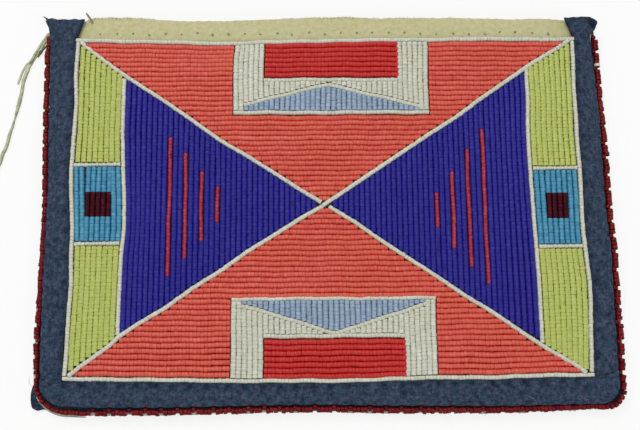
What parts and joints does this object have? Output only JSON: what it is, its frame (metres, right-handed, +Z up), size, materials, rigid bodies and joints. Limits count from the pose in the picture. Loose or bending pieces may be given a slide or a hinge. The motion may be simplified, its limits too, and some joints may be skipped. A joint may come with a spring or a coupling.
{
  "type": "beaded zip purse",
  "caption": "Flat rectangular purse with a geometric glass-bead front, wool cloth back, beaded edging, and a recessed zip across the mouth.",
  "frame": {"origin": "on the surface that the purse lies on, under the middle of its box, not counting the thong", "axes": "+X to the right along the mouth, +Y from the bottom seam towards the mouth, +Z up from the back panel to the beaded front"},
  "size_m": [0.2385, 0.1522, 0.0142],
  "materials": {
    "coral_beads": "opaque coral glass seed beads, glossy",
    "cobalt_beads": "deep blue glass seed beads, glossy",
    "yellow_green_beads": "opaque yellow-green glass seed beads, satin",
    "turquoise_beads": "turquoise glass seed beads, glossy",
    "pale_blue_beads": "opaque pale blue glass seed beads, satin",
    "white_beads": "opaque chalk-white glass seed beads, satin",
    "red_beads": "translucent red glass seed beads, glossy",
    "garnet_beads": "very dark red glass seed beads, glossy",
    "crimson_beads": "crimson glass seed beads, glossy",
    "edge_beads": "dark red glass seed beads, glossy",
    "navy_wool": "napped navy wool cloth, matte",
    "cream_hide": "soft cream suede-finished hide, matte",
    "pale_thong": "thin cut hide thong, matte",
    "zip_brass": "aged brass, slightly dull",
    "zip_tape": "dark cotton tape, matte"
  },
  "bodies": {
    "purse": {"accent_left_1": "crimson_beads", "accent_left_2": "crimson_beads", "accent_left_3": "crimson_beads", "accent_left_4": "crimson_beads", "accent_right_1": "crimson_beads", "accent_right_2": "crimson_beads", "accent_right_3": "crimson_beads", "accent_right_4": "crimson_beads", "back_panel": "navy_wool", "cobalt_field_left": "cobalt_beads", "cobalt_field_right": "cobalt_beads", "coral_field_bottom": "coral_beads", "coral_field_top": "coral_beads", "edge_beading_bottom": "edge_beads", "edge_beading_left": "edge_beads", "edge_beading_right": "edge_beads", "front_panel": "cream_hide", "garnet_square_left": "garnet_beads", "garnet_square_right": "garnet_beads", "green_field_lower_left": "yellow_green_beads", "green_field_lower_right": "yellow_green_beads", "green_field_upper_left": "yellow_green_beads", "green_field_upper_right": "yellow_green_beads", "pale_blue_peak_bottom": "pale_blue_beads", "pale_blue_peak_top": "pale_blue_beads", "red_bar_bottom": "red_beads", "red_bar_top": "red_beads", "thong_long_end": "pale_thong", "thong_short_end": "pale_thong", "turquoise_block_left": "turquoise_beads", "turquoise_block_right": "turquoise_beads", "white_base_row_bottom": "white_beads", "white_base_row_top": "white_beads", "white_cross_row_lower_left": "white_beads", "white_cross_row_lower_right": "white_beads", "white_cross_row_upper_left": "white_beads", "white_cross_row_upper_right": "white_beads", "white_diagonal_falling_lower": "white_beads", "white_diagonal_falling_upper": "white_beads", "white_diagonal_rising": "white_beads", "white_inner_row_left": "white_beads", "white_inner_row_right": "white_beads", "white_motif_bottom": "white_beads", "white_motif_top": "white_beads", "white_outline_frame": "white_beads", "wool_strip_bottom": "navy_wool", "wool_strip_left": "navy_wool", "wool_strip_right": "navy_wool", "zip_bottom_stop": "zip_brass", "zip_tape_back": "zip_tape", "zip_tape_front": "zip_tape", "zip_teeth_back": "zip_brass", "zip_teeth_front": "zip_brass", "zip_top_stop_back": "zip_brass", "zip_top_stop_front": "zip_brass"},
    "slider": {"zip_slider": "zip_brass"},
    "pull": {"zip_pull": "zip_brass"}
  },
  "joints": [
    {"name": "zip_slide", "type": "slide", "parent": "purse", "child": "slider", "axis": [1, 0, 0], "range_m": [0, 0.164], "deforming": ["zip_teeth_front", "zip_teeth_back"]},
    {"name": "pull_hinge", "type": "hinge", "parent": "slider", "child": "pull", "pos_m": [-0.082, 0.07345, 0.0059], "axis": [0, 0, -1], "range_deg": [0, 180]}
  ]
}
